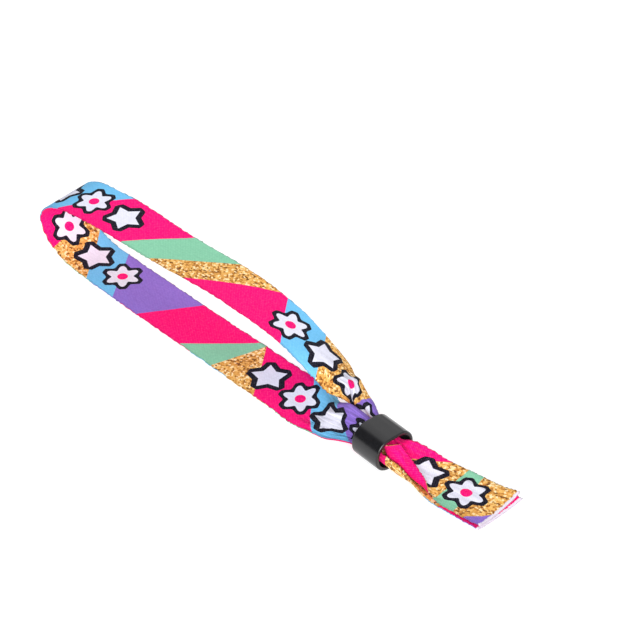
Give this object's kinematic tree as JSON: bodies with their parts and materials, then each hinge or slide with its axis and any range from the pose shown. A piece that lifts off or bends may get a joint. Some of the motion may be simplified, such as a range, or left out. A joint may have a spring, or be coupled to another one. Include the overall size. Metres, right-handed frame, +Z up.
{
  "type": "woven fabric wristband",
  "caption": "Flat woven ribbon whose two ends run through a short oval barrel slider: it lies with its loop open and two cut tails side by side.",
  "frame": {"origin": "on the floor under the middle of the whole wristband's box", "axes": "+X along the wristband, from the loop's round turn towards the cut tails; +Z up; +Y across it, away from the side on which the lower run lies"},
  "size_m": [0.156, 0.0232, 0.0193],
  "materials": {
    "band_fabric": "printed satin weave in pink, purple, mint, sky blue and gold",
    "slider_plastic": "black moulded plastic with a soft gloss"
  },
  "bodies": {
    "root": {"band": "band_fabric", "slider": "slider_plastic"}
  },
  "joints": []
}
